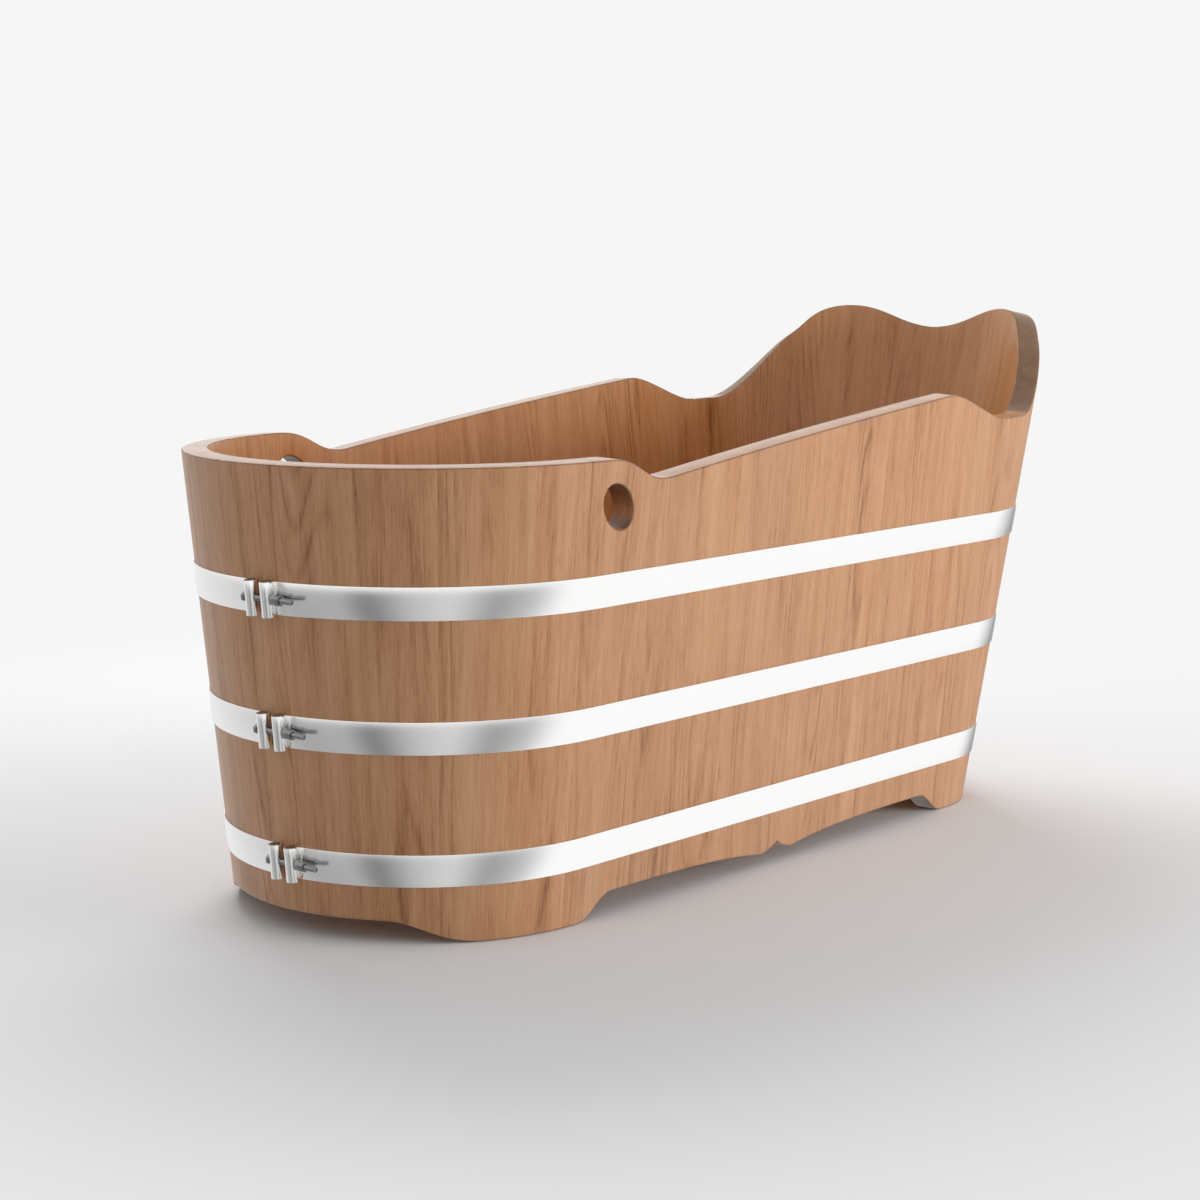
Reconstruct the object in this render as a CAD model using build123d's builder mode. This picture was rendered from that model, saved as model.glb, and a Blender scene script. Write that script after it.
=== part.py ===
import os
from math import cos, pi, radians, sin, tan

from build123d import *

# A free-standing slipper bath made of upright wooden staves, in millimetres.
# The head end is at +X, the foot end at -X, and the feet stand on Z = 0.
# The origin is on the ground, under the middle of the overall length.

# Plan of the outside of the wall at the ground, and how it grows with height
half_width = 280.0
side_flare = 0.096
foot_axis_x = -495.6
head_axis_x = 443.4
head_axis_run = 0.0865
corner_radius = 165.0
corner_growth = 0.2124
corner_turn = 70.0
wall_thickness = 38.0

# Rim heights, from the foot end round to the headrest
foot_rim_z = 648.4
dip_z = 617.0
crest_z = 691.3
neck_z = 647.0
ear_z = 806.7
centre_dip = 37.0

# Rim places along the tub, and around the head end in degrees from the side
drop_end_x = -350.3
drop_pull = 0.51
crest_x = 330.0
ramp_arch = 3.1
neck_pull = 0.28
rise_start_turn = 13.5
ear_start_turn = 60.5
ear_end_turn = 64.0

# The rim is sawn to fall a little towards the outside
rim_fall = 0.053
rim_section_count = 13
rim_cut_reach = 60.0
rim_waste = 20.0

# Oval hand holes, one in each side, in the middle of the first stave past the foot end
hand_hole_long = 72.0
hand_hole_short = 54.0
hand_hole_z = 582.0
hand_hole_tilt = 135.0

# Scroll-cut base with four feet
base_middle_x = -34.6
foot_inner = 460.0
foot_slope = 72.0
foot_pull = 0.42
arch_height = 34.0
lip_reach = 42.0
lip_height = 17.5
notch_height = 32.0
notch_flank_z = 25.0
notch_pull = 17.0
arch_pull_x = 250.0
lip_pull_x = 120.0
end_foot_inner = 243.0
end_foot_slope = 98.0
end_arch_height = 32.0

# Staves, spaced along the wall at the reference height
stave_reference_z = 325.0
foot_stave_count = 9
foot_stave_pitch = 101.2
long_stave_count = 25

# Floor of boards held in a groove around the inside of the wall
floor_under_z = 85.0
floor_thickness = 36.0
groove_depth = 8.0
groove_gap = 0.5
board_count = 5
board_stock_length = 2400.0
batten_xs = {"foot": -331.0, "middle": -21.0, "head": 289.0}
batten_width = 70.0
batten_thickness = 30.0
batten_end_gap = 6.0
screw_diameter = 5.0
screw_length = 50.0
screw_head_diameter = 10.0
screw_fit = 0.05
screw_hole_spare = 1.0

# Hoops, pulled tight by one bolt each at the foot end
hoop_heights = {"top": 469.0, "middle": 287.0, "bottom": 103.5}
hoop_width = 45.0
hoop_thickness = 2.0
hoop_seat_gap = 0.2
clasp_y = -16.0
eye_spacing = 30.0
eye_overhang = 1.5
pin_diameter = 14.4
pin_fit = 0.1
pin_end_stand = 0.8
bolt_diameter = 8.0
bolt_hole_gap = 0.4
bolt_head_width = 13.0
bolt_head_height = 5.3
bolt_reach = 47.0
nut_length = 17.0
nut_seat_gap = 0.2
nut_fit = 0.05

# Waste fitting in the floor, with a cap that lifts
waste_from_end = 214.0
waste_x = foot_axis_x - half_width + waste_from_end
waste_thread_diameter = 47.8
waste_bore = 40.0
spigot_diameter = 40.0
spigot_bore = 34.0
spigot_length = 34.0
spigot_step = 4.0
waste_hole_gap = 0.4
flange_diameter = 70.0
flange_thickness = 4.0
flange_recess_gap = 1.0
gasket_thickness = 2.0
waste_washer_thickness = 3.0
waste_nut_width = 60.0
waste_nut_height = 12.0
waste_nut_gap = 0.2
waste_tail_z = 28.0
spider_drop = 24.0
spider_thickness = 8.0
spider_arm_width = 4.0
spider_root = 1.0
spider_boss_diameter = 16.0
cap_diameter = 60.0
cap_thickness = 5.0
cap_edge_radius = 3.0
cap_seat_gap = 0.4
cap_stem_diameter = 8.0
cap_stem_fit = 0.06
cap_stem_length = 52.0
cap_skirt_diameter = 36.0
cap_skirt_height = 7.0
seal_thickness = 2.4
seal_height = 3.0
seal_fit = 0.05

centre_z = ear_z - centre_dip
wall_top_z = ear_z + rim_waste
floor_top_z = floor_under_z + floor_thickness
slack = 30.0


def half_width_at(z):
    return half_width + side_flare * z


def corner_radius_at(z):
    return corner_radius + corner_growth * z


def corner_x_at(z):
    return head_axis_x + head_axis_run * z


def corner_y_at(z):
    return half_width_at(z) - corner_radius_at(z)


def end_radius_at(z):
    return corner_radius_at(z) + corner_y_at(z) / cos(radians(corner_turn))


def end_x_at(z):
    return corner_x_at(z) - corner_y_at(z) * tan(radians(corner_turn))


def head_point(turn, z, inset):
    """A point of the head end on the +Y side, turn degrees round from the side."""
    angle = radians(turn)
    if turn <= corner_turn:
        reach = corner_radius_at(z) - inset
        return corner_x_at(z) + reach * sin(angle), corner_y_at(z) + reach * cos(angle)
    reach = end_radius_at(z) - inset
    return end_x_at(z) + reach * sin(angle), reach * cos(angle)


def plan_face(z, inset):
    """The outline of the tub at one height, drawn inset inside the outer face."""
    width = half_width_at(z) - inset
    corner = corner_radius_at(z) - inset
    end = end_radius_at(z) - inset
    with BuildSketch(Plane.XY.offset(z)) as plan:
        with BuildLine():
            CenterArc((foot_axis_x, 0), width, 90, 180)
            Line((foot_axis_x, -width), (corner_x_at(z), -width))
            CenterArc((corner_x_at(z), -corner_y_at(z)), corner, -90, corner_turn)
            CenterArc((end_x_at(z), 0), end, corner_turn - 90, 180 - 2 * corner_turn)
            CenterArc((corner_x_at(z), corner_y_at(z)), corner, 90 - corner_turn, corner_turn)
            Line((corner_x_at(z), width), (foot_axis_x, width))
        make_face()
    return plan.sketch


def tub_block(low, high, inset, mode=Mode.ADD):
    """A solid that fills the tub's plan between two heights."""
    return loft(sections=[plan_face(low, inset), plan_face(high, inset)], ruled=True, mode=mode)


def smooth_step(share):
    return (1 - cos(pi * share)) / 2


def head_rim_z(turn):
    """Height of the rim around the head end: neck, ear, then the dip behind the neck rest."""
    if turn <= rise_start_turn:
        return neck_z
    if turn <= ear_start_turn:
        share = (turn - rise_start_turn) / (ear_start_turn - rise_start_turn)
        return neck_z + (ear_z - neck_z) * smooth_step(share)
    if turn <= ear_end_turn:
        return ear_z
    share = (90 - turn) / (90 - ear_end_turn)
    return centre_z + (ear_z - centre_z) * smooth_step(share)


def rim_section(turn, side):
    """One upright section of the waste above the headrest, at right angles to the wall."""
    z = head_rim_z(turn)
    x, y = head_point(turn, z, wall_thickness / 2)
    outward = Vector(sin(radians(turn)), side * cos(radians(turn)), 0)
    end_lean = head_point(90, 1, 0)[0] - head_point(90, 0, 0)[0]
    fall = rim_fall + (end_lean - rim_fall) * smooth_step(turn / 90)
    drop = fall * rim_cut_reach
    upright = Plane(origin=(x, side * y, z), x_dir=outward, z_dir=outward.cross(Vector(0, 0, 1)))
    top = wall_top_z + slack - z
    with BuildSketch(upright) as section:
        with BuildLine():
            Polyline(
                (-rim_cut_reach, drop),
                (rim_cut_reach, -drop),
                (rim_cut_reach, top),
                (-rim_cut_reach, top),
                close=True,
            )
        make_face()
    return section.sketch


def head_rim_waste():
    """The waste that is sawn off above the headrest, from one neck round to the other."""
    turns = [90 * k / rim_section_count for k in range(rim_section_count + 1)]
    near = [rim_section(turn, -1) for turn in turns]
    far = [rim_section(turn, 1) for turn in reversed(turns[:-1])]
    with BuildPart() as waste:
        loft(sections=near + far)
    return waste.part


def saw_z(z):
    """Height in the tub's middle of a falling saw cut that leaves the rim at z."""
    return z + rim_fall * (half_width_at(z) - wall_thickness / 2)


def side_rim_waste():
    """The waste above the two long sides: drop, long ramp, crest and neck."""
    neck_x = corner_x_at(neck_z)
    top = saw_z(wall_top_z + slack)
    foot, dip, crest, neck = saw_z(foot_rim_z), saw_z(dip_z), saw_z(crest_z), saw_z(neck_z)
    ramp_run = crest_x - drop_end_x
    ramp = (crest - dip) / ramp_run
    bend = 4 * ramp_arch / ramp_run
    pull = drop_pull * (drop_end_x - foot_axis_x)
    reach = neck_pull * (neck_x - crest_x)
    with BuildPart() as waste:
        for side in (1, -1):
            with BuildSketch(Plane.XZ):
                with BuildLine():
                    Bezier(
                        (foot_axis_x, foot),
                        (foot_axis_x + pull, foot),
                        (drop_end_x - pull, dip - (ramp + bend) * pull),
                        (drop_end_x, dip),
                    )
                    Bezier(
                        (drop_end_x, dip),
                        ((drop_end_x + crest_x) / 2, (dip + crest) / 2 + 2 * ramp_arch),
                        (crest_x, crest),
                    )
                    Bezier(
                        (crest_x, crest),
                        (crest_x + reach, crest + (ramp - bend) * reach),
                        (neck_x - reach, neck),
                        (neck_x, neck),
                    )
                    Line((neck_x, neck), (neck_x, top))
                    Line((neck_x, top), (foot_axis_x, top))
                    Line((foot_axis_x, top), (foot_axis_x, foot))
                make_face()
            extrude(amount=half_width_at(wall_top_z) + slack, dir=(0, side, -rim_fall))
    return waste.part


def foot_rim_waste():
    """The waste above the rounded foot end."""
    middle = Plane(origin=(foot_axis_x, 0, 0), x_dir=(0, 1, 0), z_dir=(1, 0, 0))
    reach = half_width_at(wall_top_z) + slack
    rim, top = saw_z(foot_rim_z), saw_z(wall_top_z + slack)
    with BuildPart() as waste:
        with BuildSketch(middle):
            with BuildLine():
                Polyline((0, rim), (reach, rim - rim_fall * reach), (reach, top), (0, top), close=True)
            make_face()
        revolve(axis=Axis((foot_axis_x, 0, 0), (0, 0, 1)), revolution_arc=180)
    return waste.part


def side_arch_waste():
    """The waste under the long sides: two arches with a small notch between them."""
    slope = foot_pull * foot_slope
    middle = Plane(origin=(base_middle_x, 0, 0), x_dir=(1, 0, 0), z_dir=(0, -1, 0))
    with BuildPart() as waste:
        with BuildSketch(middle):
            with BuildLine():
                Line((0, -slack), (foot_inner, -slack))
                Line((foot_inner, -slack), (foot_inner, 0))
                Bezier(
                    (foot_inner, 0),
                    (foot_inner - slope, 0),
                    (foot_inner - foot_slope + slope, arch_height),
                    (foot_inner - foot_slope, arch_height),
                )
                Bezier(
                    (foot_inner - foot_slope, arch_height),
                    (arch_pull_x, arch_height),
                    (lip_pull_x, notch_height),
                    (lip_reach, lip_height),
                )
                Bezier(
                    (lip_reach, lip_height),
                    (lip_reach - notch_pull, lip_height),
                    (notch_pull / 2, notch_flank_z),
                    (0, notch_height),
                )
                mirror(about=Plane.YZ)
            make_face()
        extrude(amount=half_width_at(wall_top_z) + slack, both=True)
    return waste.part


def end_arch_waste():
    """The waste under the two ends, between the feet."""
    slope = foot_pull * end_foot_slope
    reach = half_width_at(wall_top_z) + head_axis_x - foot_axis_x
    with BuildPart() as waste:
        with BuildSketch(Plane.YZ):
            with BuildLine():
                Line((0, -slack), (end_foot_inner, -slack))
                Line((end_foot_inner, -slack), (end_foot_inner, 0))
                Bezier(
                    (end_foot_inner, 0),
                    (end_foot_inner - slope, 0),
                    (end_foot_inner - end_foot_slope + slope, end_arch_height),
                    (end_foot_inner - end_foot_slope, end_arch_height),
                )
                Line((end_foot_inner - end_foot_slope, end_arch_height), (0, end_arch_height))
                mirror(about=Plane.YZ)
            make_face()
        extrude(amount=reach, both=True)
    return waste.part


def seam_place(run):
    """The outer point of the wall and its outward direction, run millimetres round from the foot."""
    z = stave_reference_z
    side = -1 if run < 0 else 1
    run = abs(run)
    radius = half_width_at(z)
    quarter = radius * pi / 2
    if run <= quarter:
        angle = run / radius
        x, y = foot_axis_x - radius * cos(angle), radius * sin(angle)
        return Vector(x, side * y, 0), Vector(-cos(angle), side * sin(angle), 0)
    run -= quarter
    straight = corner_x_at(z) - foot_axis_x
    if run <= straight:
        return Vector(foot_axis_x + run, side * radius, 0), Vector(0, side, 0)
    run -= straight
    corner = corner_radius_at(z) * radians(corner_turn)
    if run <= corner:
        turn = run / corner * corner_turn
    else:
        turn = corner_turn + (run - corner) / end_radius_at(z) * 180 / pi
    x, y = head_point(turn, z, 0)
    return Vector(x, side * y, 0), Vector(sin(radians(turn)), side * cos(radians(turn)), 0)


def half_round():
    """Length of the wall from the middle of the foot end to the middle of the head end."""
    z = stave_reference_z
    straight = corner_x_at(z) - foot_axis_x
    corner = corner_radius_at(z) * radians(corner_turn)
    return half_width_at(z) * pi / 2 + straight + corner + end_radius_at(z) * radians(90 - corner_turn)


def first_seam():
    """Where the foot end's staves give way to the long run of staves."""
    return foot_stave_count * foot_stave_pitch / 2


def long_pitch():
    return 2 * (half_round() - first_seam()) / long_stave_count


def seam_runs():
    """Where the seams lie, from one side of the foot end round to where they began."""
    foot = [-first_seam() + k * foot_stave_pitch for k in range(foot_stave_count)]
    rest = [first_seam() + k * long_pitch() for k in range(long_stave_count + 1)]
    return foot + rest


def hand_hole_x():
    return seam_place(first_seam() + long_pitch() / 2)[0].X


def seam_line(run):
    """The inner and outer ends of a seam's cutting line."""
    if run > half_round():
        run -= 2 * half_round()
    place, outward = seam_place(run)
    inner = place - outward * (corner_radius_at(stave_reference_z) - slack)
    return inner, place + outward * (head_point(90, wall_top_z, 0)[0] - head_point(90, 0, 0)[0])


def make_wall():
    """The whole wall before it is parted into staves."""
    with BuildPart() as wall:
        tub_block(0, wall_top_z, 0)
        tub_block(0, wall_top_z, wall_thickness, mode=Mode.SUBTRACT)
        tub_block(floor_under_z, floor_top_z, wall_thickness - groove_depth, mode=Mode.SUBTRACT)
        with BuildSketch(Plane.XZ):
            with Locations((hand_hole_x(), hand_hole_z)):
                Ellipse(hand_hole_long / 2, hand_hole_short / 2, rotation=hand_hole_tilt)
        extrude(amount=half_width_at(wall_top_z) + slack, both=True, mode=Mode.SUBTRACT)
        add(head_rim_waste(), mode=Mode.SUBTRACT)
        add(side_rim_waste(), mode=Mode.SUBTRACT)
        add(foot_rim_waste(), mode=Mode.SUBTRACT)
        add(side_arch_waste(), mode=Mode.SUBTRACT)
        add(end_arch_waste(), mode=Mode.SUBTRACT)
    return wall.part


def export_named(part, name):
    part.label = name
    export_step(part, f"parts/{name}.step")


def make_staves(wall):
    """The wall parted at its seams: every stave is a solid of its own."""
    runs = seam_runs()
    for number, (start, end) in enumerate(zip(runs[:-1], runs[1:]), start=1):
        inner_a, outer_a = seam_line(start)
        inner_b, outer_b = seam_line(end)
        with BuildPart() as stave:
            add(wall)
            with BuildSketch(Plane.XY.offset(-slack)):
                with BuildLine():
                    Polyline(inner_a, outer_a, outer_b, inner_b, close=True)
                make_face()
            extrude(amount=wall_top_z + 2 * slack, mode=Mode.INTERSECT)
        export_named(stave.part, f"stave_{number:02d}")


def screw_places():
    """Middle of each board on each batten, where a screw comes up from below."""
    pitch = 2 * board_half_width() / board_count
    rows = [pitch * (k - (board_count - 1) / 2) for k in range(board_count)]
    return [(x, y) for x in batten_xs.values() for y in rows]


def board_half_width():
    return half_width_at(floor_under_z) - wall_thickness + groove_depth - groove_gap


def make_floor_boards():
    """Floor boards that run the length of the tub, with their ends in the groove."""
    width = 2 * board_half_width() / board_count
    recess = flange_thickness + gasket_thickness
    for number in range(board_count):
        low = -board_half_width() + number * width
        high = low + width
        if number == 0:
            low -= slack
        if number == board_count - 1:
            high += slack
        with BuildPart() as board:
            tub_block(floor_under_z, floor_top_z, wall_thickness - groove_depth + groove_gap)
            with BuildSketch(Plane.XY.offset(floor_under_z)):
                with Locations(((foot_axis_x + head_axis_x) / 2, (low + high) / 2)):
                    Rectangle(board_stock_length, high - low)
            extrude(amount=floor_thickness, mode=Mode.INTERSECT)
            with BuildSketch(Plane.XY.offset(floor_under_z)):
                with Locations(*[place for place in screw_places() if low < place[1] < high]):
                    Circle(screw_diameter / 2 + screw_fit)
            extrude(amount=screw_length - batten_thickness + screw_hole_spare, mode=Mode.SUBTRACT)
            if low < 0 < high:
                with BuildSketch(Plane.XY.offset(floor_under_z)):
                    with Locations((waste_x, 0)):
                        Circle(waste_thread_diameter / 2 + waste_hole_gap)
                extrude(amount=floor_thickness, mode=Mode.SUBTRACT)
                with BuildSketch(Plane.XY.offset(floor_top_z)):
                    with Locations((waste_x, 0)):
                        Circle(flange_diameter / 2 + flange_recess_gap)
                extrude(amount=-recess, mode=Mode.SUBTRACT)
        export_named(board.part, f"floor_board_{number + 1}")


def make_battens():
    """Cross battens under the floor, with countersunk screw holes."""
    low = floor_under_z - batten_thickness
    length = 2 * (half_width_at(low) - wall_thickness - batten_end_gap)
    hole = screw_diameter / 2 + screw_fit
    for name, x in batten_xs.items():
        with BuildPart() as batten:
            with BuildSketch(Plane.XY.offset(low)):
                with Locations((x, 0)):
                    Rectangle(batten_width, length)
            extrude(amount=batten_thickness)
            rows = [place for place in screw_places() if place[0] == x]
            with Locations(*[Location((x, y, low), (180, 0, 0)) for _, y in rows]):
                CounterSinkHole(hole, screw_head_diameter / 2 + screw_fit, depth=batten_thickness)
        export_named(batten.part, f"floor_batten_{name}")


def make_floor_screws():
    """Countersunk screws that come up through the battens into the boards."""
    low = floor_under_z - batten_thickness
    shank = screw_diameter / 2
    head = screw_head_diameter / 2
    with BuildPart() as screws:
        for x, y in screw_places():
            with BuildSketch(Plane(origin=(x, y, low), x_dir=(1, 0, 0), z_dir=(0, -1, 0))):
                with BuildLine():
                    Polyline(
                        (0, 0),
                        (head, 0),
                        (shank, head - shank),
                        (shank, screw_length - 2 * shank),
                        (0, screw_length),
                        close=True,
                    )
                make_face()
            revolve(axis=Axis((x, y, low), (0, 0, 1)))
    export_named(screws.part, "floor_screws")


def clasp_plane(height):
    """On the outside of a hoop at the foot end: X runs towards the near side and Z up the wall."""
    reach = half_width_at(height) + hoop_seat_gap + hoop_thickness
    return Plane(
        origin=(foot_axis_x - reach, clasp_y, height),
        x_dir=(0, -1, 0),
        z_dir=(-side_flare, 0, 1),
    )


def bolt_plane(height):
    """At the middle of a tension bolt, with Z along the bolt towards its nut."""
    clasp = clasp_plane(height)
    middle = clasp.from_local_coords((0, -pin_diameter / 2, 0))
    return Plane(origin=middle, x_dir=clasp.z_dir, z_dir=clasp.x_dir)


def eye_places():
    """The middles of a hoop's two eyes, on its clasp plane."""
    return [(-eye_spacing / 2, -pin_diameter / 2), (eye_spacing / 2, -pin_diameter / 2)]


def make_hoops():
    """Flat steel hoops, each with its two ends rolled into eyes around the clasp pins."""
    eye = pin_diameter / 2 + pin_fit
    for name, height in hoop_heights.items():
        low, high = height - hoop_width / 2, height + hoop_width / 2
        clasp = clasp_plane(height)
        with BuildPart() as hoop:
            tub_block(low, high, -hoop_seat_gap - hoop_thickness)
            tub_block(low, high, -hoop_seat_gap, mode=Mode.SUBTRACT)
            with BuildSketch(clasp):
                Rectangle(eye_spacing, pin_diameter)
            extrude(amount=hoop_width, both=True, mode=Mode.SUBTRACT)
            with BuildSketch(clasp):
                with Locations(*eye_places()):
                    Circle(eye + hoop_thickness)
            extrude(amount=hoop_width / 2 + eye_overhang, both=True)
            with BuildSketch(clasp):
                with Locations(*eye_places()):
                    Circle(eye)
            extrude(amount=hoop_width, both=True, mode=Mode.SUBTRACT)
            with BuildSketch(bolt_plane(height)):
                Circle(bolt_diameter / 2 + bolt_hole_gap)
            extrude(amount=eye_spacing, both=True, mode=Mode.SUBTRACT)
        export_named(hoop.part, f"hoop_{name}")


def make_hoop_pins():
    """Round bars inside the eyes, cross-drilled for the bolts."""
    with BuildPart() as pins:
        for height in hoop_heights.values():
            with BuildSketch(clasp_plane(height)):
                with Locations(*eye_places()):
                    Circle(pin_diameter / 2)
            extrude(amount=hoop_width / 2 + eye_overhang + pin_end_stand, both=True)
            with BuildSketch(bolt_plane(height)):
                Circle(bolt_diameter / 2 + bolt_hole_gap)
            extrude(amount=eye_spacing, both=True, mode=Mode.SUBTRACT)
    export_named(pins.part, "hoop_pins")


def make_tension_bolts():
    """Hexagon bolts that draw the two eyes of a hoop together."""
    face = eye_spacing / 2 + pin_diameter / 2 + pin_fit + hoop_thickness + nut_seat_gap
    with BuildPart() as bolts:
        for height in hoop_heights.values():
            with BuildSketch(bolt_plane(height).offset(-face - bolt_head_height)):
                RegularPolygon(bolt_head_width / 2, 6, major_radius=False)
            extrude(amount=bolt_head_height)
            with BuildSketch(bolt_plane(height).offset(-face)):
                Circle(bolt_diameter / 2)
            extrude(amount=face + eye_spacing / 2 + bolt_reach)
    export_named(bolts.part, "tension_bolts")


def make_tension_nuts():
    """Long hexagon nuts, turned to tighten the hoops."""
    face = eye_spacing / 2 + pin_diameter / 2 + pin_fit + hoop_thickness + nut_seat_gap
    for name, height in hoop_heights.items():
        with BuildPart() as nut:
            with BuildSketch(bolt_plane(height).offset(face)):
                RegularPolygon(bolt_head_width / 2, 6, major_radius=False)
                Circle(bolt_diameter / 2 + nut_fit, mode=Mode.SUBTRACT)
            extrude(amount=nut_length)
        export_named(nut.part, f"tension_nut_{name}")


def make_waste_fitting():
    """Flanged waste with its thread and plain spigot, and a spider that guides the cap's stem."""
    under_flange = floor_top_z - flange_thickness
    thread_end = waste_tail_z + spigot_length
    with BuildPart() as waste:
        with BuildSketch(Plane.XY.offset(floor_top_z)):
            with Locations((waste_x, 0)):
                Circle(flange_diameter / 2)
        extrude(amount=-flange_thickness)
        with BuildSketch(Plane.XY.offset(waste_tail_z)):
            with Locations((waste_x, 0)):
                Circle(spigot_diameter / 2)
        extrude(amount=spigot_length)
        with BuildSketch(Plane.XY.offset(thread_end)):
            with Locations((waste_x, 0)):
                Circle(waste_thread_diameter / 2)
        extrude(amount=under_flange - thread_end)
        with BuildSketch(Plane.XY.offset(waste_tail_z)):
            with Locations((waste_x, 0)):
                Circle(spigot_bore / 2)
        extrude(amount=floor_top_z - waste_tail_z, mode=Mode.SUBTRACT)
        with BuildSketch(Plane.XY.offset(floor_top_z)):
            with Locations((waste_x, 0)):
                Circle(waste_bore / 2)
        extrude(amount=-(floor_top_z - thread_end - spigot_step), mode=Mode.SUBTRACT)
        with BuildSketch(Plane.XY.offset(floor_top_z - spider_drop - spider_thickness)):
            with Locations((waste_x, 0)):
                Rectangle(waste_bore + spider_root, spider_arm_width)
                Rectangle(spider_arm_width, waste_bore + spider_root)
                Circle(spider_boss_diameter / 2)
                Circle(cap_stem_diameter / 2 + cap_stem_fit, mode=Mode.SUBTRACT)
        extrude(amount=spider_thickness)
    export_named(waste.part, "waste_fitting")


def make_washer(name, low, thickness):
    """A flat rubber ring on the waste's thread."""
    with BuildPart() as washer:
        with BuildSketch(Plane.XY.offset(low)):
            with Locations((waste_x, 0)):
                Circle(flange_diameter / 2)
                Circle(waste_thread_diameter / 2 + waste_nut_gap, mode=Mode.SUBTRACT)
        extrude(amount=thickness)
    export_named(washer.part, name)


def make_waste_nut():
    """Hexagon backnut that clamps the waste to the floor from below."""
    top = floor_under_z - waste_washer_thickness
    with BuildPart() as nut:
        with BuildSketch(Plane.XY.offset(top - waste_nut_height)):
            with Locations((waste_x, 0)):
                RegularPolygon(waste_nut_width / 2, 6, major_radius=False)
                Circle(waste_thread_diameter / 2 + waste_nut_gap, mode=Mode.SUBTRACT)
        extrude(amount=waste_nut_height)
    export_named(nut.part, "waste_nut")


def make_drain_cap():
    """Push cap on a stem that slides in the spider."""
    under = floor_top_z + cap_seat_gap
    with BuildPart() as cap:
        with BuildSketch(Plane.XY.offset(under)):
            with Locations((waste_x, 0)):
                Circle(cap_diameter / 2)
        extrude(amount=cap_thickness)
        fillet(cap.edges().group_by(Axis.Z)[-1], radius=cap_edge_radius)
        with BuildSketch(Plane.XY.offset(under)):
            with Locations((waste_x, 0)):
                Circle(cap_skirt_diameter / 2 - seal_thickness)
        extrude(amount=-cap_skirt_height)
        with BuildSketch(Plane.XY.offset(under)):
            with Locations((waste_x, 0)):
                Circle(cap_stem_diameter / 2)
        extrude(amount=-cap_stem_length)
    export_named(cap.part, "drain_cap")


def make_cap_seal():
    """Rubber ring around the cap's skirt."""
    under = floor_top_z + cap_seat_gap - cap_skirt_height
    with BuildPart() as seal:
        with BuildSketch(Plane.XY.offset(under)):
            with Locations((waste_x, 0)):
                Circle(cap_skirt_diameter / 2)
                Circle(cap_skirt_diameter / 2 - seal_thickness + seal_fit, mode=Mode.SUBTRACT)
        extrude(amount=seal_height)
    export_named(seal.part, "cap_seal")


os.makedirs("parts", exist_ok=True)
make_staves(make_wall())
make_floor_boards()
make_battens()
make_floor_screws()
make_hoops()
make_hoop_pins()
make_tension_bolts()
make_tension_nuts()
make_waste_fitting()
make_washer("waste_gasket", floor_top_z - flange_thickness - gasket_thickness, gasket_thickness)
make_washer("waste_washer", floor_under_z - waste_washer_thickness, waste_washer_thickness)
make_waste_nut()
make_drain_cap()
make_cap_seal()
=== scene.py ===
import math

import bmesh
import bpy
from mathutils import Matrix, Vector


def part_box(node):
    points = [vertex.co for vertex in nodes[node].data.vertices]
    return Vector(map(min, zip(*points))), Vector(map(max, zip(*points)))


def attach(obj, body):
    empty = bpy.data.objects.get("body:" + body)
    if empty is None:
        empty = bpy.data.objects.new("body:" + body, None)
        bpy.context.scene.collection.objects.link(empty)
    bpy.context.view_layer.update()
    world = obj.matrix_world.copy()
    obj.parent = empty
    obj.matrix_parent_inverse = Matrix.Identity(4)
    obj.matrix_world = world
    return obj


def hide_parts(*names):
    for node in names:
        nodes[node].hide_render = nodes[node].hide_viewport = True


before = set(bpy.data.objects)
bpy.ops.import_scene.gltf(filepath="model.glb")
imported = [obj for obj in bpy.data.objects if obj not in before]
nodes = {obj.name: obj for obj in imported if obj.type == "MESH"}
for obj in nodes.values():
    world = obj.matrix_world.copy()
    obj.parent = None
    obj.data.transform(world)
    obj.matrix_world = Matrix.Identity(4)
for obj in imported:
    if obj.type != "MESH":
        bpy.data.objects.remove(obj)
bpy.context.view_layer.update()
bpy.ops.object.select_all(action="DESELECT")


def linear(hexColour):
    parts = [int(hexColour[i:i + 2], 16) / 255 for i in (1, 3, 5)]
    return tuple(c / 12.92 if c <= 0.04045 else ((c + 0.055) / 1.055) ** 2.4 for c in parts) + (1.0,)


def addNode(tree, kind, inputs=None, stops=(), **settings):
    node = tree.nodes.new(kind)
    for name, value in settings.items():
        setattr(node, name, value)
    for key, value in (inputs or {}).items():
        if isinstance(value, bpy.types.NodeSocket):
            tree.links.new(value, node.inputs[key])
        else:
            node.inputs[key].default_value = value
    if stops:  # a colour ramp: place and hex colour, or place and grey level
        elements = node.color_ramp.elements
        while len(elements) < len(stops):
            elements.new(0.5)
        for element, (place, colour) in zip(elements, stops):
            element.position = place
            element.color = linear(colour) if isinstance(colour, str) else (colour, colour, colour, 1)
    return node


def newMaterial(name):
    material = bpy.data.materials.new(name)
    material.use_nodes = True
    material.node_tree.nodes.clear()
    return material, material.node_tree


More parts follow.
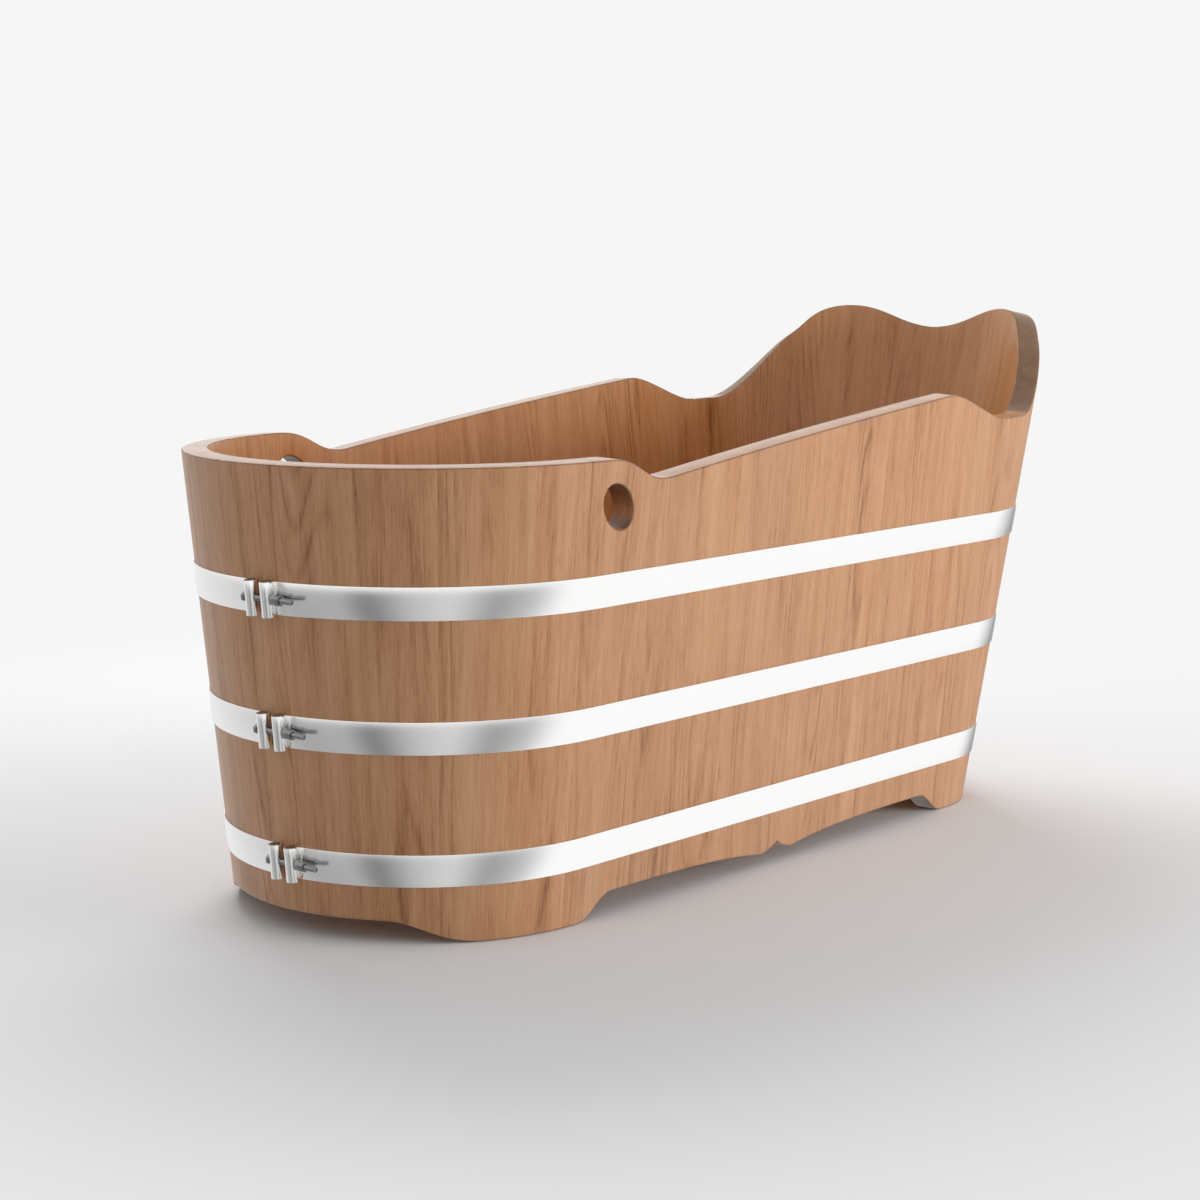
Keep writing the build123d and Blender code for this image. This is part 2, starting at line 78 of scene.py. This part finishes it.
wood = {
    "colours": [(0.0, "#c39570"), (0.42, "#b5835c"), (0.74, "#a06e47"), (1.0, "#7b4c2c")],  # pale wood to dark streak
    "roughness": 0.38,
    "rimRoughness": 0.17,  # the rims are sanded and waxed
    "rimPaintedHighlight": 1.22,  # the flat rims are painted pale: a painted highlight where the rims catch the light
    "endGrainAndPaintedShade": 0.44,  # steeply sawn end grain drinks more oil and turns dark, and the same factor paints shade on those faces where little light falls
    "innerPaintedLight": 1.15,  # painted light: the faces inside the tub are painted lighter
    # painted light: the faces inside the tub are painted more saturated, standing in for warm light inside the tub
    "innerPaintedWarmth": 1.08,
    "ringSpacing": 0.0055,  # growth rings, metres
    "ringWander": 0.080,  # how far the rings swing from true circles, metres
    "ringShape": [(0.0, 0.45), (0.22, 0.0), (0.62, 0.30), (0.88, 1.0), (1.0, 0.45)],
    "ringZoneShape": [(0.46, 0.0), (0.66, 1.0)],
    "poreShape": [(0.56, 0.0), (0.72, 1.0)],
    # each pattern's width across and length along the fibres in metres, its detail and its roughness;
    # real fibres and pores are finer, and are drawn as coarse as they need to show
    "patterns": {
        "wander": (0.11, 0.90, 1.0, 0.4),
        "ringZones": (0.035, 0.50, 1.0, 0.5),
        "fibres": (0.0011, 0.036, 2.0, 0.55),
        "streaks": (0.0036, 0.090, 2.0, 0.55),
        "bands": (0.021, 0.80, 1.0, 0.5),
        "clouds": (0.10, 0.30, 1.0, 0.5),
        "pores": (0.0011, 0.020, 1.0, 0.5),
    },
    "shares": {"rings": 0.30, "fibres": 0.46, "streaks": 0.62, "bands": 0.50, "clouds": 0.35, "pores": 0.20},
    "palest": 0.72,  # sum of the shares that gives the first colour
    "darkest": 1.48,  # and the last
    "relief": 0.0003,
    "reliefStrength": 0.12,
}


def makeOiledTimber(name):
    # plain-sawn hardwood, planed and oiled: soft sheen, straight fibre streaks and faint flat-sawn figures; with
    # painted light: rims painted pale as a highlight, inner faces painted lighter and warmer, end grain darker partly
    # as painted shade
    material, tree = newMaterial(name)
    grain = addNode(tree, "ShaderNodeAttribute", attribute_name="grain").outputs["Vector"]
    tone, sawnAndPaintedLight, inner = [
        addNode(tree, "ShaderNodeAttribute", attribute_name=kept).outputs["Fac"] for kept in ("tone", "sawnAndPaintedLight", "inner")
    ]

    layers = {}
    for layer, (width, length, detail, roughness) in wood["patterns"].items():
        scale = (1 / width, 1 / width, 1 / length)
        place = addNode(tree, "ShaderNodeVectorMath", {0: grain, 1: scale}, operation="MULTIPLY").outputs[0]
        inputs = {"Vector": place, "Scale": 1.0, "Detail": detail, "Roughness": roughness}
        layers[layer] = addNode(tree, "ShaderNodeTexNoise", inputs).outputs["Fac"]
    inputs = {"Fac": layers["pores"]}
    layers["pores"] = addNode(tree, "ShaderNodeValToRGB", inputs, stops=wood["poreShape"]).outputs[0]

    # growth rings about the pith, shown in patches only
    across = addNode(tree, "ShaderNodeVectorMath", {0: grain, 1: (1, 1, 0)}, operation="MULTIPLY").outputs[0]
    radius = addNode(tree, "ShaderNodeVectorMath", {0: across}, operation="LENGTH").outputs["Value"]
    inputs = {0: layers["wander"], 1: wood["ringWander"], 2: radius}
    swung = addNode(tree, "ShaderNodeMath", inputs, operation="MULTIPLY_ADD").outputs[0]
    count = addNode(tree, "ShaderNodeMath", {0: swung, 1: wood["ringSpacing"]}, operation="DIVIDE").outputs[0]
    ring = addNode(tree, "ShaderNodeMath", {0: count}, operation="FRACT").outputs[0]
    ringShade = addNode(tree, "ShaderNodeValToRGB", {"Fac": ring}, stops=wood["ringShape"]).outputs[0]
    inputs = {"Fac": layers["ringZones"]}
    ringZones = addNode(tree, "ShaderNodeValToRGB", inputs, stops=wood["ringZoneShape"]).outputs[0]
    layers["rings"] = addNode(tree, "ShaderNodeMath", {0: ringShade, 1: ringZones}, operation="MULTIPLY").outputs[0]

    total = None
    for layer, share in wood["shares"].items():
        inputs = {0: layers[layer], 1: share, 2: total if total else 0.0}
        total = addNode(tree, "ShaderNodeMath", inputs, operation="MULTIPLY_ADD").outputs[0]
    shade = addNode(tree, "ShaderNodeMapRange", {0: total, 1: wood["palest"], 2: wood["darkest"]}).outputs[0]
    colour = addNode(tree, "ShaderNodeValToRGB", {"Fac": shade}, stops=wood["colours"]).outputs[0]

    # painted light: inner faces are lifted lighter and warmer, flat rims are painted pale as a highlight, and end
    # grain is darker, partly as painted shade
    lift = addNode(tree, "ShaderNodeMapRange", {0: inner, 3: 1.0, 4: wood["innerPaintedLight"]}).outputs[0]
    lifted = addNode(tree, "ShaderNodeMath", {0: tone, 1: lift}, operation="MULTIPLY").outputs[0]
    value = addNode(tree, "ShaderNodeMath", {0: lifted, 1: sawnAndPaintedLight}, operation="MULTIPLY").outputs[0]
    warmth = addNode(tree, "ShaderNodeMapRange", {0: inner, 3: 1.0, 4: wood["innerPaintedWarmth"]}).outputs[0]
    inputs = {"Color": colour, "Value": value, "Saturation": warmth}
    toned = addNode(tree, "ShaderNodeHueSaturation", inputs).outputs[0]
    inputs = {0: sawnAndPaintedLight, 1: 1.0, 2: wood["rimPaintedHighlight"], 3: wood["roughness"], 4: wood["rimRoughness"]}
    sheen = addNode(tree, "ShaderNodeMapRange", inputs).outputs[0]
    inputs = {"Height": shade, "Strength": wood["reliefStrength"], "Distance": wood["relief"]}
    bump = addNode(tree, "ShaderNodeBump", inputs).outputs[0]
    inputs = {"Base Color": toned, "Roughness": sheen, "Normal": bump}
    shader = addNode(tree, "ShaderNodeBsdfPrincipled", inputs).outputs[0]
    addNode(tree, "ShaderNodeOutputMaterial", {"Surface": shader})
    return material


metal = {
    "strapColour": "#fdfdfc",
    "strapRoughness": 0.22,
    "turnedColour": "#8c8c8c",
    "turnedRoughness": 0.27,
    "roughnessSpread": 0.03,
    "brushCells": (12, 12, 900),  # per metre: marks 83 mm long and 1.1 mm wide, drawn coarser than real to show
    "brushDepth": 0.0002,
    "brushStrength": 0.03,
    "roundingSteps": 2,
}


def makeStainlessSteel(name, colour, roughness):
    # rolled strip brushed along its length, or turned bar: soft reflections with faint lines
    material, tree = newMaterial(name)
    place = addNode(tree, "ShaderNodeTexCoord").outputs["Object"]
    lines = addNode(tree, "ShaderNodeVectorMath", {0: place, 1: metal["brushCells"]}, operation="MULTIPLY").outputs[0]
    brush = addNode(tree, "ShaderNodeTexNoise", {"Vector": lines, "Scale": 1.0, "Detail": 2.0}).outputs["Fac"]
    inputs = {0: brush, 3: roughness - metal["roughnessSpread"], 4: roughness + metal["roughnessSpread"]}
    rough = addNode(tree, "ShaderNodeMapRange", inputs).outputs[0]
    inputs = {"Height": brush, "Strength": metal["brushStrength"], "Distance": metal["brushDepth"]}
    bump = addNode(tree, "ShaderNodeBump", inputs).outputs[0]
    inputs = {"Base Color": linear(colour), "Metallic": 1.0, "Roughness": rough, "Normal": bump}
    shader = addNode(tree, "ShaderNodeBsdfPrincipled", inputs).outputs[0]
    addNode(tree, "ShaderNodeOutputMaterial", {"Surface": shader})
    return material


rubber = {
    "colours": [(0.3, "#1b1b1c"), (0.7, "#262627")],
    "roughness": 0.72,
    "speckCells": 900.0,  # per metre: the mould's fine grit, 1.1 mm
}


def makeMouldedRubber(name):
    # moulded black nitrile rubber: matt, with a faint grit
    material, tree = newMaterial(name)
    place = addNode(tree, "ShaderNodeTexCoord").outputs["Object"]
    inputs = {"Vector": place, "Scale": rubber["speckCells"], "Detail": 2.0}
    speck = addNode(tree, "ShaderNodeTexNoise", inputs).outputs["Fac"]
    colour = addNode(tree, "ShaderNodeValToRGB", {"Fac": speck}, stops=rubber["colours"]).outputs[0]
    inputs = {"Base Color": colour, "Roughness": rubber["roughness"]}
    shader = addNode(tree, "ShaderNodeBsdfPrincipled", inputs).outputs[0]
    addNode(tree, "ShaderNodeOutputMaterial", {"Surface": shader})
    return material


print("materials")
oiledTimber = makeOiledTimber("oiledTimber")
brushedSteel = makeStainlessSteel("brushedStainless", metal["strapColour"], metal["strapRoughness"])
turnedSteel = makeStainlessSteel("turnedStainless", metal["turnedColour"], metal["turnedRoughness"])
mouldedRubber = makeMouldedRubber("mouldedRubber")


edges = {
    "mergeWithin": 0.00001,
    "flatWithin": math.radians(0.15),
    "sharpOver": math.radians(28),
    "smoothUnder": math.radians(30),
}


def activate(piece):
    bpy.ops.object.select_all(action="DESELECT")
    piece.select_set(True)
    bpy.context.view_layer.objects.active = piece


def mergedCopy(nodeName, pieceName):
    piece = bpy.data.objects.new(pieceName, nodes[nodeName].data.copy())
    piece.data.name = pieceName
    bpy.context.scene.collection.objects.link(piece)
    activate(piece)
    bpy.ops.object.mode_set(mode="EDIT")
    bpy.ops.mesh.select_all(action="SELECT")
    bpy.ops.mesh.remove_doubles(threshold=edges["mergeWithin"])
    bpy.ops.mesh.dissolve_limited(angle_limit=edges["flatWithin"])
    bpy.ops.object.mode_set(mode="OBJECT")
    return piece


def roundEdges(piece, width, steps, keptFaces=()):
    work = bmesh.new()
    work.from_mesh(piece.data)
    weights = []
    for edge in work.edges:
        sharp = len(edge.link_faces) == 2 and edge.calc_face_angle() > edges["sharpOver"]
        kept = any(face.index in keptFaces for face in edge.link_faces)
        weights.append(1.0 if sharp and not kept else 0.0)
    work.free()
    attribute = piece.data.attributes.new("bevel_weight_edge", "FLOAT", "EDGE")
    attribute.data.foreach_set("value", weights)
    bevel = piece.modifiers.new("edges", "BEVEL")
    bevel.limit_method = "WEIGHT"
    bevel.width = width
    bevel.segments = steps
    bevel.use_clamp_overlap = False
    activate(piece)
    bpy.ops.object.modifier_apply(modifier="edges")
    bpy.ops.object.shade_smooth_by_angle(angle=edges["smoothUnder"])


def handOver(piece, material, body, node):
    piece.data.materials.clear()
    piece.data.materials.append(material)
    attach(piece, body)
    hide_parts(node)


def seedValues(seed):
    # four repeatable draws between 0 and 1
    return [math.modf(abs(math.sin((seed + 1) * k)) * 1000)[0] for k in (12.9898, 78.233, 37.719, 93.989)]


sawing = {
    "pithAside": 0.05,  # metres, how far the tree's pith lies beside a board's middle
    "pithNearest": 0.055,  # metres, how far it lies behind the board's face
    "pithSpread": 0.05,
    "tilt": 0.05,  # how much the fibres may run out of the board
    "shiftAlong": 7.3,  # metres along the tree from one board to the next, so that no two are alike
    # start and span of how far a face turns towards the fibres' ends, 0 to 1
    "endGrain": (0.10, 0.60),
    "flatRim": (0.95, 0.03),
    "innerFacing": -0.5,  # faces turned at least this far from outward are inside the tub
}


def blend(value, start, span):
    return max(0.0, min(1.0, (value - start) / span))


def giveGrain(piece, along, outward, seed, tone):
    # where each point of the board lay in its tree, how its faces were cut, and which faces get painted light: a pale
    # rim highlight, partly shaded end grain and lighter inner faces
    mesh = piece.data
    across = outward.cross(along).normalized()
    draws = seedValues(seed)
    pithAside = (draws[0] - 0.5) * sawing["pithAside"]
    pithBehind = sawing["pithNearest"] + sawing["pithSpread"] * draws[1]
    tilt = (draws[2] - 0.5) * sawing["tilt"]
    middle = sum((vertex.co for vertex in mesh.vertices), Vector()) / len(mesh.vertices)
    places = []
    for vertex in mesh.vertices:
        offset = vertex.co - middle
        length = offset.dot(along)
        places.append(offset.dot(across) - pithAside)
        places.append(offset.dot(outward) + pithBehind + tilt * length)
        places.append(length + sawing["shiftAlong"] * seed)
    sawnAndPaintedLights = []
    inside = []
    for polygon in mesh.polygons:
        facing = polygon.normal.dot(along)
        flat = blend(facing, *sawing["flatRim"])
        steep = blend(abs(facing), *sawing["endGrain"])
        # end grain is darker, partly from its real oil uptake and partly as painted shade
        sawnAndShaded = 1 + (wood["endGrainAndPaintedShade"] - 1) * steep
        # the flat rims are painted pale as a highlight
        sawnAndPaintedLights.append(sawnAndShaded + (wood["rimPaintedHighlight"] - sawnAndShaded) * flat)
        # faces inside the tub, which the shader paints lighter and warmer as painted light
        inside.append(1.0 if polygon.normal.dot(outward) < sawing["innerFacing"] else 0.0)
    mesh.attributes.new("grain", "FLOAT_VECTOR", "POINT").data.foreach_set("vector", places)
    mesh.attributes.new("tone", "FLOAT", "POINT").data.foreach_set("value", [tone] * len(mesh.vertices))
    mesh.attributes.new("sawnAndPaintedLight", "FLOAT", "FACE").data.foreach_set("value", sawnAndPaintedLights)
    mesh.attributes.new("inner", "FLOAT", "FACE").data.foreach_set("value", inside)


staves = {
    "count": 34,
    "rimRounding": 0.0025,
    "roundingSteps": 3,
    "toneSpread": 0.07,
    "footAxis": -0.4965,  # metres along X, about the middle of the rounded foot end
    "headAxis": 0.45,  # and of the head end
    "wallTilt": 0.5,  # the most that a wall face's normal rises or falls
    "wallFacing": 0.5,  # the least that it points away from the tub's middle
    "seamTilt": 0.004,  # the most that a joint face's normal rises or falls
    "seamFacing": 0.35,  # the most that it points outwards
    "seamArea": 0.006,  # square metres, the least area of a joint face
}


def dressStave(number):
    name = f"stave_{number:02d}"
    piece = mergedCopy(name, f"{name}_timber")
    mesh = piece.data
    face = Vector()
    for polygon in mesh.polygons:
        middle = polygon.center
        core = max(staves["footAxis"], min(staves["headAxis"], middle.x))
        away = Vector((middle.x - core, middle.y, 0))
        facesOut = polygon.normal.dot(away) > staves["wallFacing"] * away.length
        if abs(polygon.normal.z) < staves["wallTilt"] and facesOut:
            face += polygon.normal * polygon.area
    outward = face.normalized()
    along = (Vector((0, 0, 1)) - outward * outward.z).normalized()  # the fibres follow the leaning wall
    level = Vector((face.x, face.y, 0)).normalized()
    seams = set()  # the joints between staves stay sharp and closed
    for polygon in mesh.polygons:
        upright = abs(polygon.normal.z) < staves["seamTilt"]
        sideways = abs(polygon.normal.dot(level)) < staves["seamFacing"]
        if upright and sideways and polygon.area > staves["seamArea"]:
            seams.add(polygon.index)
    roundEdges(piece, staves["rimRounding"], staves["roundingSteps"], seams)
    for vertex in mesh.vertices:
        vertex.co.z = max(vertex.co.z, 0.0)  # the feet stand on the floor
    tone = 1 + staves["toneSpread"] * (seedValues(number)[3] - 0.5)
    giveGrain(piece, along, outward, number, tone)
    handOver(piece, oiledTimber, "tub", name)


print("staves")
for number in range(1, staves["count"] + 1):
    dressStave(number)


boards = {
    "edgeRounding": 0.0012,
    "roundingSteps": 2,
    "toneSpread": 0.08,
    "seeds": {
        "floor_board_1": 41,
        "floor_board_2": 42,
        "floor_board_3": 43,
        "floor_board_4": 44,
        "floor_board_5": 45,
        "floor_batten_foot": 50,
        "floor_batten_middle": 51,
        "floor_batten_head": 52,
    },
}


def dressBoard(name, seed):
    piece = mergedCopy(name, f"{name}_timber")
    roundEdges(piece, boards["edgeRounding"], boards["roundingSteps"])
    low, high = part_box(name)
    along = Vector((1, 0, 0)) if high.x - low.x > high.y - low.y else Vector((0, 1, 0))
    tone = 1 + boards["toneSpread"] * (seedValues(seed)[3] - 0.5)
    giveGrain(piece, along, Vector((0, 0, 1)), seed, tone)
    handOver(piece, oiledTimber, "tub", name)


print("floor boards")
for name, seed in boards["seeds"].items():
    dressBoard(name, seed)


# name, body, material, slot and edge rounding in metres
metalPieces = [
    ("hoop_top", "tub", brushedSteel, "stainless_steel", 0.0003),
    ("tension_nut_top", "tension_nut_top_body", turnedSteel, "stainless_steel", 0.0005),
    ("hoop_middle", "tub", brushedSteel, "stainless_steel", 0.0003),
    ("tension_nut_middle", "tension_nut_middle_body", turnedSteel, "stainless_steel", 0.0005),
    ("hoop_bottom", "tub", brushedSteel, "stainless_steel", 0.0003),
    ("tension_nut_bottom", "tension_nut_bottom_body", turnedSteel, "stainless_steel", 0.0005),
    ("hoop_pins", "tub", turnedSteel, "stainless_steel", 0.0005),
    ("tension_bolts", "tub", turnedSteel, "stainless_steel", 0.0004),
    ("floor_screws", "tub", turnedSteel, "stainless_steel", 0.0002),
    ("waste_fitting", "tub", turnedSteel, "chromed_brass", 0.0005),
    ("waste_nut", "tub", turnedSteel, "chromed_brass", 0.0005),
    ("drain_cap", "drain_cap_body", turnedSteel, "chromed_brass", 0.0004),
]

print("metal and rubber")
for name, body, material, slot, rounding in metalPieces:
    piece = mergedCopy(name, f"{name}_metal")
    roundEdges(piece, rounding, metal["roundingSteps"])
    handOver(piece, material, body, name)
for name in ("waste_gasket", "waste_washer", "cap_seal"):
    nodes[name].data.materials.clear()
    nodes[name].data.materials.append(mouldedRubber)


photoView = {
    "place": (-3.0872, -2.5212, 0.9616),
    "turn": (math.radians(81.562), 0, math.radians(-49.693)),
    "focal": 76.64,
    "sensor": 36,
}

print("camera")
camera = bpy.data.objects.new("camera", bpy.data.cameras.new("camera"))
bpy.context.scene.collection.objects.link(camera)
camera.location = photoView["place"]
camera.rotation_euler = photoView["turn"]
camera.data.lens = photoView["focal"]
camera.data.sensor_width = photoView["sensor"]
bpy.context.scene.camera = camera


studio = {
    "backdrop": "#f6f6f6",
    "floor": "#f0f1f3",
    "floorRadius": 30,
    "floorCorners": 96,
    "floorDrop": 0.0005,  # metres below the feet
    "fadeFrom": 0.85,  # metres from the tub's middle where the floor begins to turn into backdrop
    "fadeTo": 2.4,
    "worldLight": 0.52,
    # how bright polished things see the room low around the tub, by the way they look, in degrees from +X to -Y
    "lowRing": [
        (-180, 0.44), (-151, 0.37), (-120, 0.64), (-60, 0.90), (-12, 0.30), (22, 1.0), (64, 1.0), (80, 0.54),
        (102, 0.30), (123, 0.68), (145, 0.50), (166, 0.15), (180, 0.44),
    ],
    "ringFade": (-0.08, 0.03),  # the plain white room takes over between these rises of the way they look
    # name, place, aim, size in metres and watts
    "lamps": [
        ("keySoftbox", (1.9, -4.2, 0.80), (0, 0, 0.4), (3.0, 1.4), 132),
        ("backSoftbox", (1.6, 2.5, 2.9), (0, 0, 0.3), (3.0, 2.4), 92),
    ],
}

print("studio")
bpy.ops.mesh.primitive_circle_add(
    vertices=studio["floorCorners"], radius=studio["floorRadius"], fill_type="NGON",
    location=(0, 0, -studio["floorDrop"]))
floor = bpy.context.object
floor.name = "studioFloor"
paleFloor, tree = newMaterial("paleFloor")  # painted studio floor, matt
path = addNode(tree, "ShaderNodeLightPath").outputs
place = addNode(tree, "ShaderNodeTexCoord").outputs["Object"]
away = addNode(tree, "ShaderNodeVectorMath", {0: place}, operation="LENGTH").outputs["Value"]
inputs = {0: away, 1: studio["fadeFrom"], 2: studio["fadeTo"]}
fade = addNode(tree, "ShaderNodeMapRange", inputs, interpolation_type="SMOOTHSTEP").outputs[0]
paint = addNode(tree, "ShaderNodeBsdfDiffuse", {"Color": linear(studio["floor"])}).outputs[0]
glow = addNode(tree, "ShaderNodeEmission", {"Color": linear(studio["backdrop"]), "Strength": 1.0}).outputs[0]
clear = addNode(tree, "ShaderNodeBsdfTransparent").outputs[0]
inputs = {0: path["Is Glossy Ray"], 1: path["Is Transmission Ray"]}
mirrored = addNode(tree, "ShaderNodeMath", inputs, operation="MAXIMUM").outputs[0]
faded = addNode(tree, "ShaderNodeMixShader", {0: fade, 1: paint, 2: glow}).outputs[0]
seen = addNode(tree, "ShaderNodeMixShader", {0: path["Is Camera Ray"], 1: paint, 2: faded}).outputs[0]
surface = addNode(tree, "ShaderNodeMixShader", {0: mirrored, 1: seen, 2: clear}).outputs[0]
addNode(tree, "ShaderNodeOutputMaterial", {"Surface": surface})
floor.data.materials.append(paleFloor)

world = bpy.data.worlds.new("studio")
bpy.context.scene.world = world
world.use_nodes = True
tree = world.node_tree
tree.nodes.clear()
path = addNode(tree, "ShaderNodeLightPath").outputs
way = addNode(tree, "ShaderNodeTexCoord").outputs["Generated"]
axes = addNode(tree, "ShaderNodeSeparateXYZ", {0: way}).outputs
flipped = addNode(tree, "ShaderNodeMath", {0: axes["Y"], 1: -1.0}, operation="MULTIPLY").outputs[0]
angle = addNode(tree, "ShaderNodeMath", {0: flipped, 1: axes["X"]}, operation="ARCTAN2").outputs[0]
around = addNode(tree, "ShaderNodeMapRange", {0: angle, 1: -math.pi, 2: math.pi}).outputs[0]
stops = [((turn + 180) / 360, level) for turn, level in studio["lowRing"]]
low = addNode(tree, "ShaderNodeValToRGB", {"Fac": around}, stops=stops).outputs[0]
inputs = {0: axes["Z"], 1: studio["ringFade"][0], 2: studio["ringFade"][1]}
height = addNode(tree, "ShaderNodeMapRange", inputs).outputs[0]
room = addNode(tree, "ShaderNodeMix", {0: height, 6: low, 7: (1, 1, 1, 1)}, data_type="RGBA").outputs[2]
light = addNode(tree, "ShaderNodeBackground", {"Color": (1, 1, 1, 1), "Strength": studio["worldLight"]}).outputs[0]
backdrop = addNode(tree, "ShaderNodeBackground", {"Color": linear(studio["backdrop"]), "Strength": 1.0}).outputs[0]
reflected = addNode(tree, "ShaderNodeBackground", {"Color": room, "Strength": 1.0}).outputs[0]
inputs = {0: path["Is Glossy Ray"], 1: path["Is Transmission Ray"]}
mirrored = addNode(tree, "ShaderNodeMath", inputs, operation="MAXIMUM").outputs[0]
direct = addNode(tree, "ShaderNodeMixShader", {0: path["Is Camera Ray"], 1: light, 2: backdrop}).outputs[0]
surface = addNode(tree, "ShaderNodeMixShader", {0: mirrored, 1: direct, 2: reflected}).outputs[0]
addNode(tree, "ShaderNodeOutputWorld", {"Surface": surface})

for name, place, aim, size, watts in studio["lamps"]:
    data = bpy.data.lights.new(name, "AREA")
    data.shape = "RECTANGLE"
    data.size, data.size_y = size
    data.energy = watts
    lamp = bpy.data.objects.new(name, data)
    bpy.context.scene.collection.objects.link(lamp)
    lamp.location = place
    lamp.rotation_euler = (Vector(aim) - Vector(place)).to_track_quat("-Z", "Y").to_euler()
    lamp.visible_glossy = False  # no glare of the lamps on the steel and the rims

bpy.context.scene.view_settings.view_transform = "Standard"
